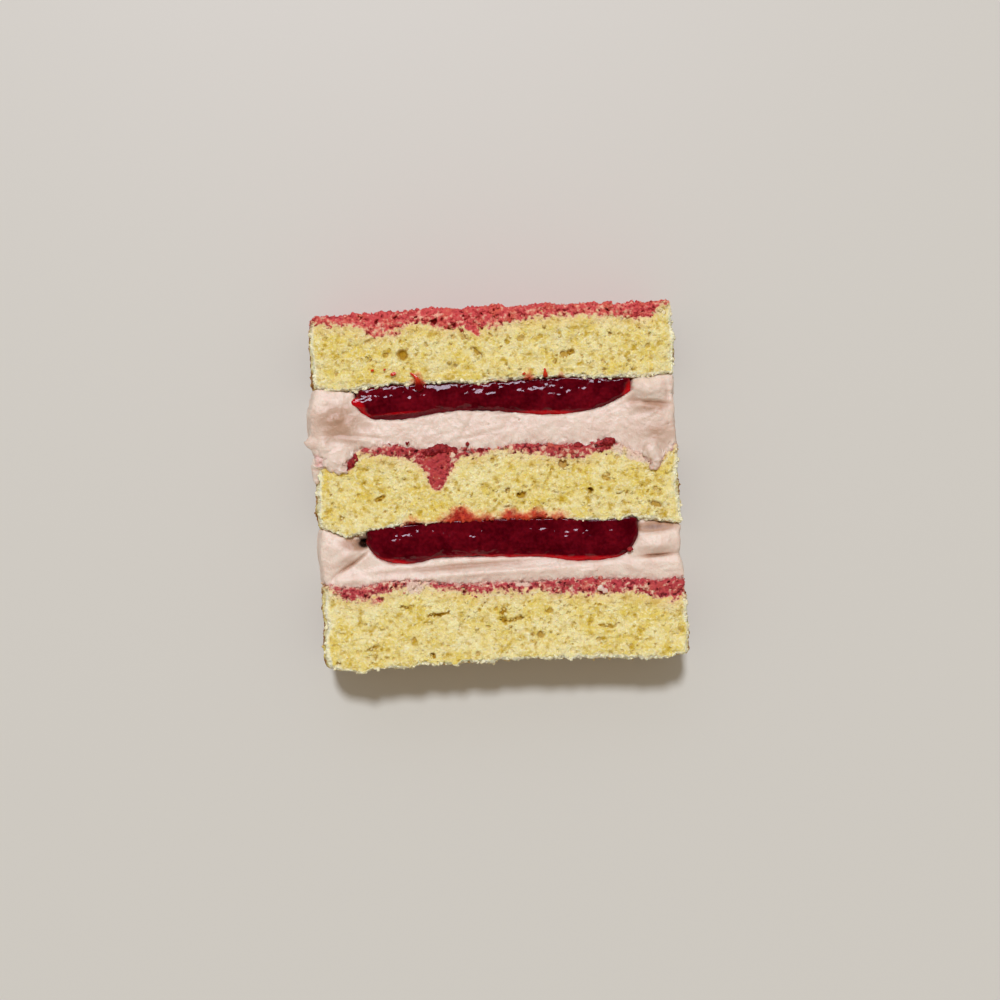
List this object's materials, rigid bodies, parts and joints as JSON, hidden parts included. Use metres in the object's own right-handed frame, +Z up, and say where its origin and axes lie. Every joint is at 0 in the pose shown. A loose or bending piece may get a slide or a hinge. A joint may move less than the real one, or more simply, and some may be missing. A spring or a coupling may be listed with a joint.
{
  "type": "raspberry layer cake slice",
  "caption": "Slice of tall sponge cake with cream, jam fillings and fruit-soaked crumb, lying on its cut side with the layers facing up.",
  "frame": {"origin": "on the resting plane, under the middle of the upper cut face", "axes": "+Z up, out of the cut face that shows; +Y the way up the cake, from its bottom sponge to its top; +X along the layers"},
  "size_m": [0.1067, 0.1026, 0.0287],
  "materials": {
    "sponge": "open yellow sponge crumb with fine pores, golden brown on its baked outside",
    "soaked_crumb": "moist sponge crumb stained red by fruit syrup, uneven in depth",
    "cream": "smooth pale pink cream with soft smears and folds",
    "jam": "dark red set jam, wet and glossy, brighter where it is thin"
  },
  "bodies": {
    "root": {"sponge_top": "sponge", "sponge_middle": "sponge", "sponge_bottom": "sponge", "soaked_crumb_top": "soaked_crumb", "soaked_crumb_middle": "soaked_crumb", "soaked_crumb_bottom": "soaked_crumb", "cream_upper": "cream", "cream_lower": "cream", "jam_upper": "jam", "jam_lower": "jam"}
  },
  "joints": []
}
